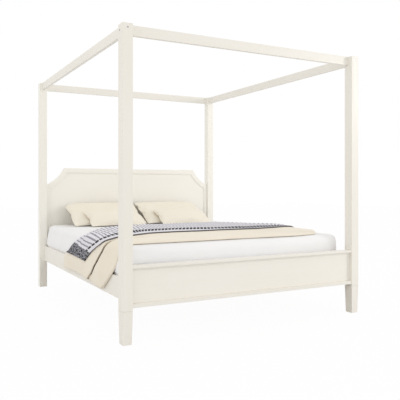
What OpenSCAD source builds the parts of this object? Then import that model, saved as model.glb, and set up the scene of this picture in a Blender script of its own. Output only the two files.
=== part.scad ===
// Four poster canopy bed, king size, painted wood, made up with bedding.
// Frame: origin on the floor under the middle of the bed, X across, -Y at the foot, +Z up.

/* [Overall] */
// Width over the outer faces of the posts
bed_width = 2090; // [1900:5:2250]
// Length over the outer faces of the posts
bed_length = 2210; // [2100:5:2350]
// Height of the posts and canopy above the floor
bed_height = 2085; // [1900:5:2300]

/* [Posts] */
// Side of each square post
post_side = 73; // [68:1:82]
// Height of the tapered foot of the two posts at the foot end
taper_height = 218; // [150:1:225]
// Inward taper of each face at the floor
taper_inset = 5.5; // [2:0.5:9]
// Height of the reveal groove above the tapered foot
groove_height = 5; // [3:1:8]
// Depth of the reveal groove
groove_depth = 2.5; // [1:0.5:5]
// Diameter of the glide let into the underside of each post
glide_diameter = 36; // [24:1:44]
// How far each glide stands out of the post
glide_reveal = 2; // [1:0.5:4]
// Depth of the glide's recess in the post
glide_recess = 4; // [2:0.5:8]

/* [Canopy] */
// Height of the canopy rails
canopy_rail_height = 69; // [60:1:90]
// Thickness of the canopy rails
canopy_rail_thick = 26; // [22:1:30]
// Setback of the foot and head canopy rails behind the front faces of their posts
canopy_setback = 38; // [34:1:42]

/* [Fasteners] */
// Diameter of the connecting bolts
bolt_diameter = 6; // [5:1:7]
// Diameter of the bolt heads
bolt_head_diameter = 12; // [10:0.5:14]
// Height of the bolt heads
bolt_head_height = 4; // [3:0.5:6]
// Depth of the counterbores below the post face
counterbore_depth = 6; // [5:0.5:12]
// Diameter of the barrel nuts
barrel_diameter = 10; // [9:0.5:12]
// Length of the barrel nuts
barrel_length = 20; // [16:0.5:20]
// Distance from a rail's end to the axis of its barrel nut
barrel_inset = 32; // [25:1:45]
// Depth of the side rails' canopy bolts below the top of the post
side_bolt_drop = 28; // [24:0.5:30]
// Depth of the cross rails' canopy bolts below the top of the post
cross_bolt_drop = 39; // [37:0.5:42]
// Diameter of the locating dowels
dowel_diameter = 8; // [6:0.5:10]
// How deep a dowel goes into each of its two pieces
dowel_depth = 25; // [15:1:28]
// Radial clearance of bolts, nuts and dowels in their bores
bore_clearance = 0.1; // [0.05:0.05:0.3]

/* [Headboard] */
// Height of the headboard's top edge
headboard_top = 1218; // [1100:1:1350]
// Height of the headboard's lower edge
headboard_underside_height = 270; // [240:1:285]
// Setback of the headboard behind the front faces of its posts
headboard_setback = 22; // [10:1:30]
// Thickness of the headboard frame
headboard_thick = 30; // [28:1:38]
// Width of each scooped corner
scoop_width = 190; // [150:1:240]
// Height of each scooped corner
scoop_height = 173; // [140:1:220]
// Angle that each scooped corner's arc turns through
scoop_sweep = 42; // [25:1:55]
// Width of the raised border along the top and the scoops
border_width = 46; // [40:1:60]
// Width of the raised border beside the posts
side_border_width = 34; // [28:1:60]
// Height of the headboard's bottom rail
bottom_rail_height = 95; // [85:1:120]
// Thickness of the headboard panel
headboard_panel_thick = 12; // [8:1:14]
// Depth of the panel's face behind the border's face
panel_recess = 8; // [6:0.5:12]
// How far the panel runs behind the border
rebate_width = 12; // [8:1:16]
// Width of the bead inside the border
bead_width = 8; // [5:0.5:12]
// Thickness of the bead
bead_thick = 5; // [3:0.5:6]

/* [Footboard] */
// Height of the top of the footboard's cap
footboard_top = 511; // [490:1:540]
// Thickness of the cap
cap_thick = 17; // [14:1:24]
// Setback of the cap behind the front faces of its posts
cap_setback = 3; // [1:0.5:8]
// Depth of the cap
cap_depth = 60; // [50:1:66]
// Setback of the footboard panel behind the front faces of its posts
footboard_setback = 26; // [20:1:32]
// Thickness of the footboard panel
footboard_thick = 24; // [20:1:28]
// Height of the cove moulding under the cap
cove_height = 16; // [10:1:24]
// Projection of the cove moulding
cove_depth = 14; // [8:1:18]
// Height of the underside of the base moulding
footboard_underside_height = 238; // [230:1:250]
// Height of the base moulding
base_height = 25; // [20:1:35]
// Setback of the base moulding behind the front faces of its posts
base_setback = 5; // [1:0.5:12]
// Width of the upright strips beside the posts
strip_width = 24; // [16:1:36]
// Thickness of the upright strips
strip_thick = 4; // [3:0.5:6]

/* [Side rails] */
// Inset of the side rails' outer faces from the posts' outer faces
side_rail_inset = 44; // [36:1:46]
// Thickness of the side rails
side_rail_thick = 27; // [25:1:27]
// Height of the side rails' undersides
side_rail_underside_height = 270; // [240:1:280]
// Height of the side rails
side_rail_height = 148; // [140:1:170]
// Height of the steel hook plates in the rail ends
plate_height = 110; // [90:1:120]
// Width of the steel hook plates
plate_width = 20; // [16:0.5:22]
// Thickness of the steel plates
plate_thick = 2.5; // [2:0.5:4]
// Depth that the hooks reach into the post
hook_reach = 12; // [9:0.5:16]

/* [Slatted base] */
// Height of the slats' upper faces
slat_top = 350; // [340:1:360]
// Thickness of the slats
slat_thick = 18; // [14:1:24]
// Width of each slat
slat_width = 70; // [50:1:90]
// Number of slats
slat_count = 14; // [10:1:18]
// Thickness of the ledgers that carry the slats
ledger_thick = 28; // [24:1:36]
// Height of the ledgers
ledger_height = 32; // [28:1:40]
// Width of the centre beam
beam_width = 60; // [50:1:80]
// Height of the centre beam
beam_height = 44; // [36:1:50]
// Thickness of the steel brackets that hold the beam
bracket_thick = 3; // [2:0.5:4]
// Side of each square centre leg
leg_side = 42; // [36:1:50]
// Distance from the middle leg to the leg towards the head
leg_spacing = 640; // [400:10:800]
// Diameter of the levelling feet
leveller_diameter = 40; // [30:1:42]
// Height of the pad of the levelling feet
leveller_pad = 10; // [6:1:14]
// Diameter of the levelling feet's threaded stems
stem_diameter = 10; // [8:1:12]
// Length of stem seen between pad and leg
stem_gap = 8; // [4:1:12]
// Length of stem inside the leg
stem_length = 45; // [35:1:60]
// Diameter of the wood screws
screw_diameter = 4; // [3:0.5:5]
// Length of the wood screws in the slats
screw_length = 36; // [28:1:38]

/* [Bedding] */
// Gap between the mattress and each side rail
mattress_gap = 6; // [2:1:10]
// Gap between the footboard and the mattress
mattress_foot_gap = 65; // [10:1:90]
// Thickness of the mattress
mattress_thick = 282; // [240:1:320]
// Radius of the mattress's upright corners
mattress_corner = 80; // [70:1:120]
// Radius of the mattress's upper and lower edges
mattress_edge = 45; // [30:1:60]
// Gap between the headboard's face and the mattress
mattress_head_gap = 12; // [8:1:24]
// Thickness of the duvet
duvet_thick = 24; // [15:1:30]
// Distance from the foot of the mattress to the duvet's edge
duvet_foot_gap = 30; // [10:1:60]
// Length of the duvet along the bed
duvet_length = 1210; // [1150:10:1300]
// Height of the duvet's hem above the floor
duvet_hem = 312; // [300:1:380]
// How far the duvet's hanging corner falls back towards the head
duvet_fallback = 250; // [150:5:300]
// Thickness of the throw
throw_thick = 10; // [6:1:16]
// Gap between the throw and the front pillows
throw_pillow_gap = 22; // [10:1:60]
// Width of the throw along the bed
throw_width = 1000; // [900:10:1040]
// Width of the gathered ends of the throw
throw_end_width = 520; // [400:10:600]
// Height of the throw's hanging ends above the floor
throw_hem = 458; // [440:1:520]
// Width of the back pillows
back_pillow_width = 690; // [600:5:800]
// Length of the back pillows up their slope
back_pillow_length = 470; // [440:5:500]
// Width of the front pillows
front_pillow_width = 580; // [500:5:650]
// Length of the front pillows up their slope
front_pillow_length = 300; // [280:5:330]
// Distance of the front pillows' lower edges from the headboard
front_pillow_reach = 534; // [530:1:600]

/* [Hidden] */
soft_clearance = 0.3;
$fn = 48;
half_width = bed_width / 2;
half_length = bed_length / 2;
inner_x = half_width - post_side;
inner_y = half_length - post_side;
foot_y = -half_length;
head_y = half_length - post_side;
canopy_bottom = bed_height - canopy_rail_height;
canopy_cross_y = canopy_setback + canopy_rail_thick / 2;
counterbore_radius = bolt_head_diameter / 2 + 0.5;
bore_radius = bolt_diameter / 2 + bore_clearance;
bolt_length = post_side - counterbore_depth + barrel_inset + barrel_diameter / 2 + 2;
rail_dowel_height = 14;
dowel_drop = canopy_rail_height - rail_dowel_height;

headboard_y = head_y + headboard_setback;
headboard_back = headboard_y + headboard_thick;
shoulder_z = headboard_top - scoop_height;
scoop_chord = norm([scoop_width, scoop_height]);
scoop_radius = scoop_chord / 2 / sin(scoop_sweep / 2);
scoop_rise = scoop_radius * cos(scoop_sweep / 2);
scoop_center_x = inner_x - scoop_width / 2 + scoop_rise * scoop_height / scoop_chord;
scoop_center_z = headboard_top - scoop_height / 2 + scoop_rise * scoop_width / scoop_chord;
corner_piece_x = inner_x - scoop_width - border_width;
corner_piece_z = shoulder_z - border_width - 20;
panel_face_y = headboard_y + panel_recess;
bottom_rail_top = headboard_underside_height + bottom_rail_height;
board_dowel_margin = 40;
headboard_dowel_y = headboard_y + headboard_thick / 2;
headboard_dowel_depth = side_border_width - rebate_width - 2;
headboard_dowel_z = [headboard_underside_height + bottom_rail_height / 2,
    (headboard_underside_height + shoulder_z) / 2,
    shoulder_z - border_width - board_dowel_margin];

footboard_y = foot_y + footboard_setback;
footboard_back = footboard_y + footboard_thick;
cap_bottom = footboard_top - cap_thick;
base_top = footboard_underside_height + base_height;
footboard_dowel_y = footboard_y + footboard_thick / 2;
footboard_dowel_z = [base_top + board_dowel_margin, cap_bottom - board_dowel_margin];

rail_outer_x = half_width - side_rail_inset;
rail_inner_x = rail_outer_x - side_rail_thick;
rail_mid_x = rail_outer_x - side_rail_thick / 2;
side_rail_top = side_rail_underside_height + side_rail_height;
plate_z = side_rail_underside_height + side_rail_height / 2;
hook_height = 16;
hook_offset = plate_height / 4;
plate_screw_z = plate_height / 2 - 8;
plate_screw_length = 22;
hook_thick = 4;
hook_lip = 5;
hook_slot_half = 2.3;
hook_pocket_half = 4;
screw_seat = 0.3;

slat_bottom = slat_top - slat_thick;
slat_end_gap = 2;
slat_half = rail_inner_x - slat_end_gap;
slat_first = footboard_back + slat_width;
slat_last = headboard_y - slat_width;
slat_step = (slat_last - slat_first) / (slat_count - 1);
ledger_screw_count = 6;
ledger_screw_margin = 120;
ledger_end_gap = 6;
ledger_bottom = slat_bottom - ledger_height;
ledger_screw_z = ledger_bottom + 8;
ledger_screw_length = ledger_thick + side_rail_thick / 2;
ledger_half = inner_y - ledger_end_gap;
beam_bottom = slat_bottom - beam_height;
beam_foot = footboard_back + bracket_thick;
beam_head = headboard_y - bracket_thick;
bracket_lip = 26;
bracket_screw_reach = 18;
bracket_screw_z = beam_bottom + beam_height / 2;
leg_bottom = leveller_pad + stem_gap;
stem_bore_depth = stem_length + 2;
screw_head_diameter = screw_diameter * 2;
screw_head_height = 2.5;

mattress_half = rail_inner_x - mattress_gap;
mattress_head = headboard_y - mattress_head_gap;
mattress_foot = footboard_back + mattress_foot_gap;
mattress_length = mattress_head - mattress_foot;
mattress_bottom = slat_top + soft_clearance;
mattress_top = mattress_bottom + mattress_thick;
duvet_foot = mattress_foot + duvet_foot_gap;
duvet_head = duvet_foot + duvet_length;
duvet_top = mattress_top + soft_clearance + duvet_thick;
hang_x = rail_outer_x + soft_clearance;
cover_chamfer = 0.55 * mattress_edge;
throw_head = headboard_y - front_pillow_reach - throw_pillow_gap;
throw_foot = throw_head - throw_width;
throw_top = duvet_top + soft_clearance + throw_thick;
throw_end_setback = 120;
back_left_x = -430;
back_right_x = 380;
back_tilt = 28.7;
back_up = 40;
back_down = 45;
back_z = mattress_top + soft_clearance + back_pillow_length / 2 * sin(back_tilt);
back_y = headboard_y - soft_clearance - back_pillow_length / 2 * cos(back_tilt);
front_left_x = -375;
front_right_x = 398;
front_tilt = 28.2;
front_up = 55;
front_down = 16;
front_z = mattress_top + soft_clearance + front_pillow_length / 2 * sin(front_tilt);
front_y = headboard_y - front_pillow_reach + front_pillow_length / 2 * cos(front_tilt);

// ---- helpers ----

module both_sides() {
    children();
    mirror([1, 0, 0]) children();
}

// A box from its low corner to its high corner
module span(low, high) {
    translate(low) cube(high - low);
}

// A cylinder along +X, +Y or +Z from its start point
module rod_x(start, length, radius) {
    translate(start) rotate([0, 90, 0]) cylinder(h = length, r = radius);
}

module rod_y(start, length, radius) {
    translate(start) rotate([-90, 0, 0]) cylinder(h = length, r = radius);
}

module rod_z(start, length, radius) {
    translate(start) cylinder(h = length, r = radius);
}

// A rounded rectangle made of straight sides and true arcs
module rounded_rectangle(size, radius) {
    square([size.x - 2 * radius, size.y], center = true);
    square([size.x, size.y - 2 * radius], center = true);
    for (sx = [-1, 1], sy = [-1, 1])
        translate([sx * (size.x / 2 - radius), sy * (size.y / 2 - radius)]) circle(r = radius);
}

// ---- canopy joints, drawn at the head or foot end on the +X side ----

// y0 is the front face of the post and out is -1 at the foot, 1 at the head
module side_bolt_bores(y0, out) {
    outer = out < 0 ? y0 : y0 + post_side;
    x = half_width - post_side / 2;
    z = bed_height - side_bolt_drop;
    bolt_bore_y([x, outer, z], -out);
}

module bolt_bore_y(mouth, direction) {
    mirror_y = direction > 0 ? 0 : 1;
    translate(mouth) mirror([0, mirror_y, 0]) {
        rod_y([0, -1, 0], counterbore_depth + 1, counterbore_radius);
        rod_y([0, counterbore_depth - 1, 0], bolt_length + 2, bore_radius);
    }
}

module bolt_bore_x(mouth) {
    rod_x(mouth - [counterbore_depth, 0, 0], counterbore_depth + 1, counterbore_radius);
    rod_x(mouth - [counterbore_depth + bolt_length + 1, 0, 0], bolt_length + 2, bore_radius);
}

module cross_bolt_bore(y0) {
    bolt_bore_x([half_width, y0 + canopy_cross_y, bed_height - cross_bolt_drop]);
}

function canopy_dowel_z() = bed_height - dowel_drop;

module side_dowel(y0, out, extra) {
    joint = out < 0 ? y0 + post_side : y0;
    start = joint - dowel_depth - extra;
    rod_y([half_width - post_side / 2, start, canopy_dowel_z()], 2 * (dowel_depth + extra),
        dowel_diameter / 2 + (extra > 0 ? bore_clearance : 0));
}

module cross_dowel(y0, extra) {
    rod_x([inner_x - dowel_depth - extra, y0 + canopy_cross_y, canopy_dowel_z() - dowel_diameter / 2],
        2 * (dowel_depth + extra), dowel_diameter / 2 + (extra > 0 ? bore_clearance : 0));
}

// ---- posts ----

module glide_bore(y0) {
    rod_z([inner_x + post_side / 2, y0 + post_side / 2, glide_reveal - 1], glide_recess + 1,
        glide_diameter / 2 + bore_clearance);
}

// Pocket for a slot plate and the hooks behind it, on the face that meets the side rail
module plate_pocket(y0, out) {
    face = out < 0 ? y0 + post_side : y0;
    low = out < 0 ? face - plate_thick - bore_clearance : face - 1;
    high = out < 0 ? face + 1 : face + plate_thick + bore_clearance;
    fit = bore_clearance;
    span([rail_mid_x - plate_width / 2 - fit, low, plate_z - plate_height / 2 - fit],
        [rail_mid_x + plate_width / 2 + fit, high, plate_z + plate_height / 2 + fit]);
    for (side = [-1, 1]) {
        z = plate_z + side * hook_offset;
        deep_low = out < 0 ? face - hook_reach - 2 : face;
        deep_high = out < 0 ? face : face + hook_reach + 2;
        span([rail_mid_x - hook_pocket_half, deep_low, z - hook_height],
            [rail_mid_x + hook_pocket_half, deep_high, z + hook_height]);
    }
    plate_screw_bores(face, out < 0 ? -1 : 1);
}

module plate_screw_bores(face, direction) {
    for (side = [-1, 1]) {
        start = direction < 0 ? face - plate_thick - plate_screw_length - 1 : face;
        rod_y([rail_mid_x, start, plate_z + side * plate_screw_z],
            plate_thick + plate_screw_length + 1, screw_diameter / 2 + bore_clearance);
    }
}

module dowel_bores(y, heights, depth) {
    for (z = heights)
        rod_x([inner_x - depth - 1, y, z], 2 * depth + 2, dowel_diameter / 2 + bore_clearance);
}

module post_cuts(y0, out) {
    side_bolt_bores(y0, out);
    cross_bolt_bore(y0);
    side_dowel(y0, out, 1);
    cross_dowel(y0, 1);
    plate_pocket(y0, out);
    glide_bore(y0);
}

// One face pair of the tapered foot, as an upright outline
module taper_outline() {
    half = post_side / 2;
    polygon([
        [-half + taper_inset, glide_reveal], [half - taper_inset, glide_reveal],
        [half, taper_height], [half - groove_depth, taper_height],
        [half - groove_depth, taper_height + groove_height], [half, taper_height + groove_height],
        [half, bed_height], [-half, bed_height],
        [-half, taper_height + groove_height], [-half + groove_depth, taper_height + groove_height],
        [-half + groove_depth, taper_height], [-half, taper_height]
    ]);
}

module foot_post_blank() {
    translate([inner_x + post_side / 2, foot_y + post_side / 2, 0]) intersection() {
        rotate([90, 0, 0]) linear_extrude(post_side, center = true) taper_outline();
        rotate([90, 0, 90]) linear_extrude(post_side, center = true) taper_outline();
    }
}

module foot_post() {
    color("ivory") difference() {
        foot_post_blank();
        post_cuts(foot_y, -1);
        dowel_bores(footboard_dowel_y, footboard_dowel_z, dowel_depth);
    }
}

module head_post() {
    color("ivory") difference() {
        span([inner_x, head_y, glide_reveal], [half_width, half_length, bed_height]);
        post_cuts(head_y, 1);
        dowel_bores(headboard_dowel_y, headboard_dowel_z, headboard_dowel_depth);
    }
}

module post_foot_left() { mirror([1, 0, 0]) foot_post(); }
module post_foot_right() { foot_post(); }
module post_head_left() { mirror([1, 0, 0]) head_post(); }
module post_head_right() { head_post(); }

module post_glides() {
    color("dimgray") both_sides() for (y0 = [foot_y, head_y])
        rod_z([inner_x + post_side / 2, y0 + post_side / 2, 0], glide_reveal + glide_recess,
            glide_diameter / 2);
}

// ---- canopy ----

// Barrel nuts lie across the rail, on the bolt's axis
function side_barrel_y(out) = out * (inner_y - barrel_inset);
function cross_barrel_x() = inner_x - barrel_inset;

module canopy_side_rail() {
    x = half_width - post_side / 2;
    z = bed_height - side_bolt_drop;
    color("ivory") difference() {
        span([x - canopy_rail_thick / 2, -inner_y, canopy_bottom],
            [x + canopy_rail_thick / 2, inner_y, bed_height]);
        side_bolt_bores(foot_y, -1);
        side_bolt_bores(head_y, 1);
        side_dowel(foot_y, -1, 1);
        side_dowel(head_y, 1, 1);
        for (out = [-1, 1]) rod_x([x - canopy_rail_thick / 2 - 1, side_barrel_y(out), z],
            canopy_rail_thick / 2 + barrel_length / 2 + 1, barrel_diameter / 2 + bore_clearance);
    }
}

module canopy_cross_rail(y0) {
    y = y0 + canopy_cross_y;
    z = bed_height - cross_bolt_drop;
    color("ivory") difference() {
        span([-inner_x, y - canopy_rail_thick / 2, canopy_bottom],
            [inner_x, y + canopy_rail_thick / 2, bed_height]);
        both_sides() {
            cross_bolt_bore(y0);
            cross_dowel(y0, 1);
            rod_y([cross_barrel_x(), y - barrel_length / 2, z], canopy_rail_thick / 2 + barrel_length / 2 + 1,
                barrel_diameter / 2 + bore_clearance);
        }
    }
}

module canopy_rail_foot() { canopy_cross_rail(foot_y); }
module canopy_rail_head() { canopy_cross_rail(head_y); }
module canopy_rail_left() { mirror([1, 0, 0]) canopy_side_rail(); }
module canopy_rail_right() { canopy_side_rail(); }

// A bolt along +Y or along -X, with its head's face at the bottom of the counterbore
module bolt(length) {
    socket = 2.5;
    difference() {
        cylinder(h = bolt_head_height, r = bolt_head_diameter / 2);
        translate([0, 0, -1]) cylinder(h = bolt_head_height - 1.5 + 1, r = socket, $fn = 6);
    }
    translate([0, 0, bolt_head_height]) cylinder(h = length, r = bolt_diameter / 2);
}

module canopy_bolts() {
    start = counterbore_depth - bolt_head_height;
    z_side = bed_height - side_bolt_drop;
    z_cross = bed_height - cross_bolt_drop;
    color("silver") both_sides() {
        translate([half_width - post_side / 2, foot_y + start, z_side])
            rotate([-90, 0, 0]) bolt(bolt_length);
        translate([half_width - post_side / 2, half_length - start, z_side])
            rotate([90, 0, 0]) bolt(bolt_length);
        for (y0 = [foot_y, head_y])
            translate([half_width - start, y0 + canopy_cross_y, z_cross])
                rotate([0, -90, 0]) bolt(bolt_length);
    }
}

module canopy_barrel_nuts() {
    x = half_width - post_side / 2;
    z_side = bed_height - side_bolt_drop;
    z_cross = bed_height - cross_bolt_drop;
    color("gray") both_sides() {
        for (out = [-1, 1]) difference() {
            rod_x([x - barrel_length / 2, side_barrel_y(out), z_side], barrel_length, barrel_diameter / 2);
            rod_y([x, side_barrel_y(out) - barrel_diameter, z_side], 2 * barrel_diameter, bore_radius);
        }
        for (y0 = [foot_y, head_y]) difference() {
            rod_y([cross_barrel_x(), y0 + canopy_cross_y - barrel_length / 2, z_cross], barrel_length,
                barrel_diameter / 2);
            rod_x([cross_barrel_x() - barrel_diameter, y0 + canopy_cross_y, z_cross], 2 * barrel_diameter,
                bore_radius);
        }
    }
}

module canopy_dowels() {
    color("burlywood") both_sides() {
        side_dowel(foot_y, -1, 0);
        side_dowel(head_y, 1, 0);
        cross_dowel(foot_y, 0);
        cross_dowel(head_y, 0);
    }
}

// ---- headboard, drawn in an upright plane with X across and Y as height ----

// The headboard's outline, drawn in from its edge by a top and a side inset
module headboard_outline(top_inset, side_inset, bottom_inset) {
    half = inner_x - side_inset;
    difference() {
        translate([-half, headboard_underside_height + bottom_inset])
            square([2 * half, headboard_top - headboard_underside_height - top_inset - bottom_inset]);
        for (side = [-1, 1])
            translate([side * scoop_center_x, scoop_center_z])
                circle(r = scoop_radius + top_inset, $fn = 180);
    }
}

module headboard_opening(grow) {
    headboard_outline(border_width - grow, side_border_width - grow, bottom_rail_height - grow);
}

module upright(y, thick) {
    translate([0, y + thick, 0]) rotate([90, 0, 0]) linear_extrude(thick) children();
}

// The border with the rebate that takes the panel from behind
module headboard_frame() {
    upright(headboard_y, panel_recess) difference() {
        headboard_outline(0, 0, 0);
        headboard_opening(0);
    }
    upright(headboard_y + panel_recess, headboard_thick - panel_recess) difference() {
        headboard_outline(0, 0, 0);
        headboard_opening(rebate_width);
    }
}

module headboard_piece(low_x, high_x, low_z, high_z) {
    color("ivory") intersection() {
        headboard_frame();
        span([low_x, headboard_y - 1, low_z], [high_x, headboard_back + 1, high_z]);
    }
}

module headboard_top_rail() {
    headboard_piece(-corner_piece_x, corner_piece_x, shoulder_z, headboard_top + 1);
}

module headboard_corner() {
    headboard_piece(corner_piece_x, inner_x, corner_piece_z, headboard_top + 1);
}

module headboard_corner_left() { mirror([1, 0, 0]) headboard_corner(); }
module headboard_corner_right() { headboard_corner(); }

module headboard_stile() {
    difference() {
        headboard_piece(inner_x - side_border_width, inner_x, bottom_rail_top, corner_piece_z);
        dowel_bores(headboard_dowel_y, headboard_dowel_z, headboard_dowel_depth);
    }
}

module headboard_stile_left() { mirror([1, 0, 0]) headboard_stile(); }
module headboard_stile_right() { headboard_stile(); }

module headboard_bottom_rail() {
    difference() {
        headboard_piece(-inner_x, inner_x, headboard_underside_height, bottom_rail_top);
        both_sides() dowel_bores(headboard_dowel_y, headboard_dowel_z, headboard_dowel_depth);
        for (side = [-1, 1]) bracket_screw_bore(headboard_y, 1, side);
    }
}

module headboard_panel() {
    fit = 0.2;
    color("linen") upright(panel_face_y, headboard_panel_thick) headboard_opening(rebate_width - fit);
}

module headboard_bead() {
    fit = 0.1;
    color("ivory") upright(panel_face_y - bead_thick, bead_thick) difference() {
        headboard_opening(-fit);
        headboard_opening(-bead_width);
    }
}

module dowels(y, heights, depth) {
    color("burlywood") both_sides() for (z = heights)
        rod_x([inner_x - depth, y, z], 2 * depth, dowel_diameter / 2);
}

module headboard_dowels() { dowels(headboard_dowel_y, headboard_dowel_z, headboard_dowel_depth); }

// ---- footboard ----

module footboard_panel() {
    color("linen") difference() {
        span([-inner_x, footboard_y, footboard_underside_height], [inner_x, footboard_back, cap_bottom]);
        both_sides() dowel_bores(footboard_dowel_y, footboard_dowel_z, dowel_depth);
        for (side = [-1, 1]) bracket_screw_bore(footboard_back, -1, side);
    }
}

module footboard_cap() {
    front = foot_y + cap_setback;
    color("ivory") span([-inner_x, front, cap_bottom], [inner_x, front + cap_depth, footboard_top]);
}

module footboard_cove() {
    low = cap_bottom - cove_height;
    radius = min(cove_depth, cove_height) - 3;
    color("ivory") translate([-inner_x, 0, 0]) rotate([90, 0, 90]) linear_extrude(2 * inner_x) difference() {
        translate([footboard_y - cove_depth, low]) square([cove_depth, cove_height]);
        translate([footboard_y - cove_depth, low]) circle(r = radius);
    }
}

module footboard_strip() {
    low = base_top;
    color("ivory") span([inner_x - strip_width, footboard_y - strip_thick, low],
        [inner_x, footboard_y, cap_bottom - cove_height]);
}

module footboard_strip_left() { mirror([1, 0, 0]) footboard_strip(); }
module footboard_strip_right() { footboard_strip(); }

module footboard_base_moulding() {
    color("ivory") span([-inner_x, foot_y + base_setback, footboard_underside_height],
        [inner_x, footboard_y, base_top]);
}

module footboard_dowels() { dowels(footboard_dowel_y, footboard_dowel_z, dowel_depth); }

// ---- side rails and their hook plates ----

module rail_plate_pocket(out) {
    face = out * inner_y;
    deep = plate_thick + bore_clearance;
    low = out < 0 ? face - 1 : face - deep;
    high = out < 0 ? face + deep : face + 1;
    fit = bore_clearance;
    span([rail_mid_x - plate_width / 2 - fit, low, plate_z - plate_height / 2 - fit],
        [rail_mid_x + plate_width / 2 + fit, high, plate_z + plate_height / 2 + fit]);
    plate_screw_bores(face, -out);
}

module side_rail() {
    color("ivory") difference() {
        span([rail_inner_x, -inner_y, side_rail_underside_height], [rail_outer_x, inner_y, side_rail_top]);
        rail_plate_pocket(-1);
        rail_plate_pocket(1);
        ledger_screw_bores();
    }
}

module side_rail_left() { mirror([1, 0, 0]) side_rail(); }
module side_rail_right() { side_rail(); }

// A steel plate whose outer face lies at the joint, drawn for the foot end of a rail
module hook_plate() {
    difference() {
        union() {
            span([rail_mid_x - plate_width / 2, 0, plate_z - plate_height / 2],
                [rail_mid_x + plate_width / 2, plate_thick, plate_z + plate_height / 2]);
            for (side = [-1, 1]) {
                z = plate_z + side * hook_offset;
                span([rail_mid_x - hook_thick / 2, -hook_reach, z - hook_height / 2],
                    [rail_mid_x + hook_thick / 2, 0.5, z + hook_height / 2]);
                span([rail_mid_x - hook_thick / 2, -hook_reach, z - hook_height / 2 - hook_lip],
                    [rail_mid_x + hook_thick / 2, -plate_thick - 3, z]);
            }
        }
        for (side = [-1, 1])
            rod_y([rail_mid_x, -1, plate_z + side * plate_screw_z], plate_thick + 2,
                screw_diameter / 2 + bore_clearance);
    }
}

module slot_plate() {
    difference() {
        span([rail_mid_x - plate_width / 2, -plate_thick, plate_z - plate_height / 2],
            [rail_mid_x + plate_width / 2, 0, plate_z + plate_height / 2]);
        for (side = [-1, 1]) {
            z = plate_z + side * hook_offset;
            span([rail_mid_x - hook_slot_half, -plate_thick - 1, z - hook_height / 2 - 0.2],
                [rail_mid_x + hook_slot_half, 1, z + hook_height / 2 + 6]);
            rod_y([rail_mid_x, -plate_thick - 1, plate_z + side * plate_screw_z], plate_thick + 2,
                screw_diameter / 2 + bore_clearance);
        }
    }
}

// Puts a piece drawn at the foot end of the +X rail at all four corners
module at_rail_ends() {
    both_sides() {
        translate([0, -inner_y, 0]) children();
        mirror([0, 1, 0]) translate([0, -inner_y, 0]) children();
    }
}

module rail_hook_plates() { color("silver") at_rail_ends() hook_plate(); }
module post_slot_plates() { color("silver") at_rail_ends() slot_plate(); }

module plate_screws() {
    color("gray") at_rail_ends() for (side = [-1, 1]) {
        z = plate_z + side * plate_screw_z;
        rod_y([rail_mid_x, screw_seat, z], plate_thick + plate_screw_length - screw_seat, screw_diameter / 2);
        rod_y([rail_mid_x, -plate_thick - plate_screw_length, z],
            plate_thick + plate_screw_length - screw_seat, screw_diameter / 2);
    }
}

// ---- slatted base ----

function slat_y(i) = slat_first + i * slat_step;
function ledger_screw_y(i) = (inner_y - ledger_screw_margin) * (2 * i / (ledger_screw_count - 1) - 1);

module ledger_screw_bores() {
    for (i = [0 : ledger_screw_count - 1])
        rod_x([rail_inner_x - ledger_thick - 1, ledger_screw_y(i), ledger_screw_z], ledger_screw_length + 2,
            screw_diameter / 2 + bore_clearance);
}

module slat_screw_bores() {
    x = rail_inner_x - ledger_thick / 2;
    for (i = [0 : slat_count - 1])
        rod_z([x, slat_y(i), slat_top - screw_length - 1], screw_length + 2,
            screw_diameter / 2 + bore_clearance);
}

module ledger() {
    color("tan") difference() {
        span([rail_inner_x - ledger_thick, -ledger_half, ledger_bottom],
            [rail_inner_x, ledger_half, slat_bottom]);
        ledger_screw_bores();
        slat_screw_bores();
    }
}

module ledger_left() { mirror([1, 0, 0]) ledger(); }
module ledger_right() { ledger(); }

module ledger_screws() {
    color("gray") both_sides() for (i = [0 : ledger_screw_count - 1]) {
        start = rail_inner_x - ledger_thick;
        rod_x([start - screw_head_height, ledger_screw_y(i), ledger_screw_z], screw_head_height,
            screw_head_diameter / 2);
        rod_x([start, ledger_screw_y(i), ledger_screw_z], ledger_screw_length, screw_diameter / 2);
    }
}

module slats() {
    x = rail_inner_x - ledger_thick / 2;
    color("burlywood") for (i = [0 : slat_count - 1]) difference() {
        span([-slat_half, slat_y(i) - slat_width / 2, slat_bottom],
            [slat_half, slat_y(i) + slat_width / 2, slat_top]);
        for (side = [-1, 1]) {
            rod_z([side * x, slat_y(i), slat_bottom - 1], slat_thick + 2, screw_diameter / 2 + bore_clearance);
            rod_z([side * x, slat_y(i), slat_top - screw_head_height - 0.5], screw_head_height + 2,
                screw_head_diameter / 2 + bore_clearance);
        }
    }
}

module slat_screws() {
    x = rail_inner_x - ledger_thick / 2;
    z = slat_top - screw_head_height - 0.5;
    color("gray") both_sides() for (i = [0 : slat_count - 1]) {
        rod_z([x, slat_y(i), z], screw_head_height, screw_head_diameter / 2);
        rod_z([x, slat_y(i), slat_top - screw_length], screw_length - screw_head_height - 0.5,
            screw_diameter / 2);
    }
}

module centre_beam() {
    color("tan") difference() {
        span([-beam_width / 2, beam_foot, beam_bottom], [beam_width / 2, beam_head, slat_bottom]);
        for (side = [-1, 1]) {
            rod_y([side * beam_width / 4, beam_foot - 1, bracket_screw_z], screw_head_height + 3,
                screw_head_diameter / 2 + 1);
            rod_y([side * beam_width / 4, beam_head - screw_head_height - 2, bracket_screw_z],
                screw_head_height + 3, screw_head_diameter / 2 + 1);
        }
    }
}

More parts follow.
